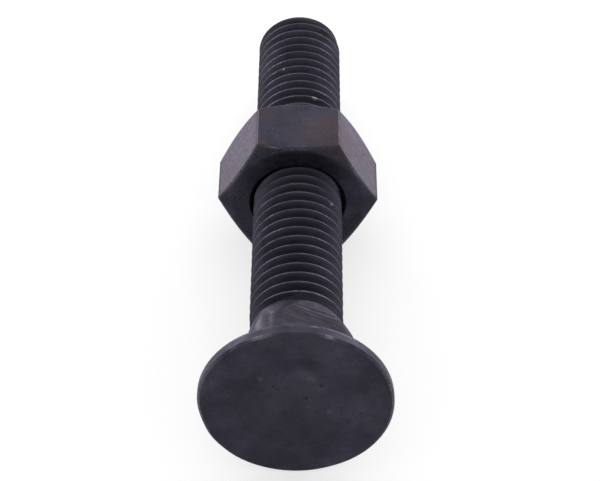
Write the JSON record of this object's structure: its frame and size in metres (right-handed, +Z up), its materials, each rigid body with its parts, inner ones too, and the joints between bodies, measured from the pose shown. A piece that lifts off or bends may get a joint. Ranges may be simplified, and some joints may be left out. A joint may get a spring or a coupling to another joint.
{
  "type": "plow bolt",
  "caption": "Flat round countersunk head on a square neck, coarse threaded shank to a chamfered point, hex nut part way along, lying on its side.",
  "frame": {"origin": "on the surface that the bolt and nut lie on, under the middle of the overall length", "axes": "+Y from head to tip, along the bolt as it lies, its axis falling 3.23 degrees towards the tip; +Z up; +X to the right seen from the head"},
  "size_m": [0.024, 0.0758, 0.024],
  "materials": {
    "bolt_steel": "black oxide over forged and rolled steel, satin with a faint blue cast",
    "nut_steel": "black oxide over cold formed steel, satin with brown traces at the edges"
  },
  "bodies": {
    "bolt": {"plow_bolt": "bolt_steel"},
    "nut": {"hex_nut": "nut_steel"}
  },
  "joints": [
    {"name": "nut_travel", "type": "slide", "parent": "bolt", "child": "nut", "axis": [0, 0.9984, -0.0563], "range_m": [-0.02275, 0.0385]}
  ]
}
